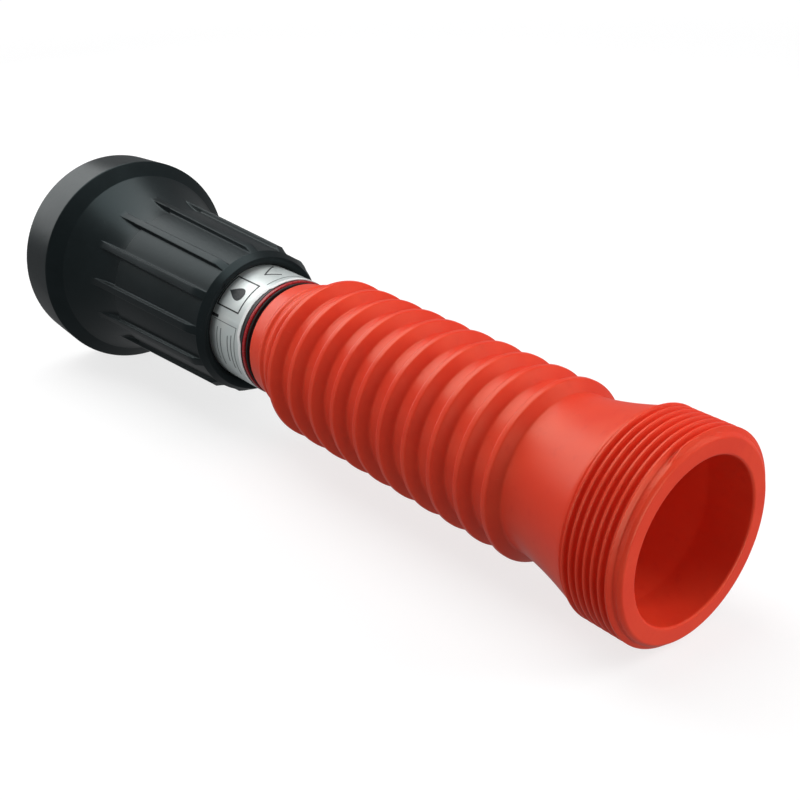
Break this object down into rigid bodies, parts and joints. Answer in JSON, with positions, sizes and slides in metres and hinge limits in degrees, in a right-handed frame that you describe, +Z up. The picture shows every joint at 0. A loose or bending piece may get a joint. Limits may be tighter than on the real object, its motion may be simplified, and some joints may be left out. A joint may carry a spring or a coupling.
{
  "type": "fire hose nozzle",
  "caption": "Twist-action fire hose nozzle: ribbed handle with male hose thread, labelled barrel and a ribbed, bell-ended head that turns and slides to open a poppet valve.",
  "frame": {"origin": "centre of the inlet end face, on the nozzle's axis", "axes": "+X along the nozzle's axis, out of the inlet and towards the hose, so the water flows towards -X; +Z up as the nozzle lies on its side; +Y across"},
  "size_m": [0.2922, 0.079, 0.079],
  "materials": {
    "red_nylon": "semi-gloss moulded nylon",
    "collar_red": "gloss, dark red",
    "black_rubber": "matt moulded rubber",
    "head_black": "satin moulded black",
    "barrel_metal": "turned, hard anodised black",
    "label_foil": "silver foil label, satin",
    "insert_metal": "turned aluminium",
    "brass": "turned brass",
    "steel": "stainless steel",
    "spider_plastic": "natural acetal"
  },
  "bodies": {
    "nozzle_body": {"handle_body": "red_nylon", "spigot_seal": "black_rubber", "joint_gasket": "black_rubber", "collar_ring": "collar_red", "barrel": "barrel_metal", "label_wrap": "label_foil", "barrel_seal": "black_rubber", "retaining_ring": "steel", "spider": "spider_plastic", "snap_ring": "steel", "stem": "brass", "stem_washer": "steel", "stem_nut": "steel", "poppet": "brass", "poppet_seal": "black_rubber", "deflector": "brass", "cap_nut": "brass"},
    "head_slider": {"wiper_ring": "black_rubber"},
    "head": {"head_shroud": "head_black", "head_insert": "insert_metal", "cam_pins": "steel", "seat_ring": "brass", "seat_seal": "black_rubber", "teeth_ring": "head_black", "teeth_screws": "steel"}
  },
  "joints": [
    {"name": "head_travel", "type": "slide", "parent": "nozzle_body", "child": "head_slider", "axis": [-1, 0, 0], "range_m": [0, 0.01352]},
    {"name": "head_turn", "type": "hinge", "parent": "head_slider", "child": "head", "pos_m": [-0.2, 0, 0], "axis": [-1, 0, 0], "range_deg": [0, 270]}
  ],
  "couplings": [
    {"joint": "head_travel", "follows": "head_turn", "m_per_rad": 0.0028648}
  ]
}
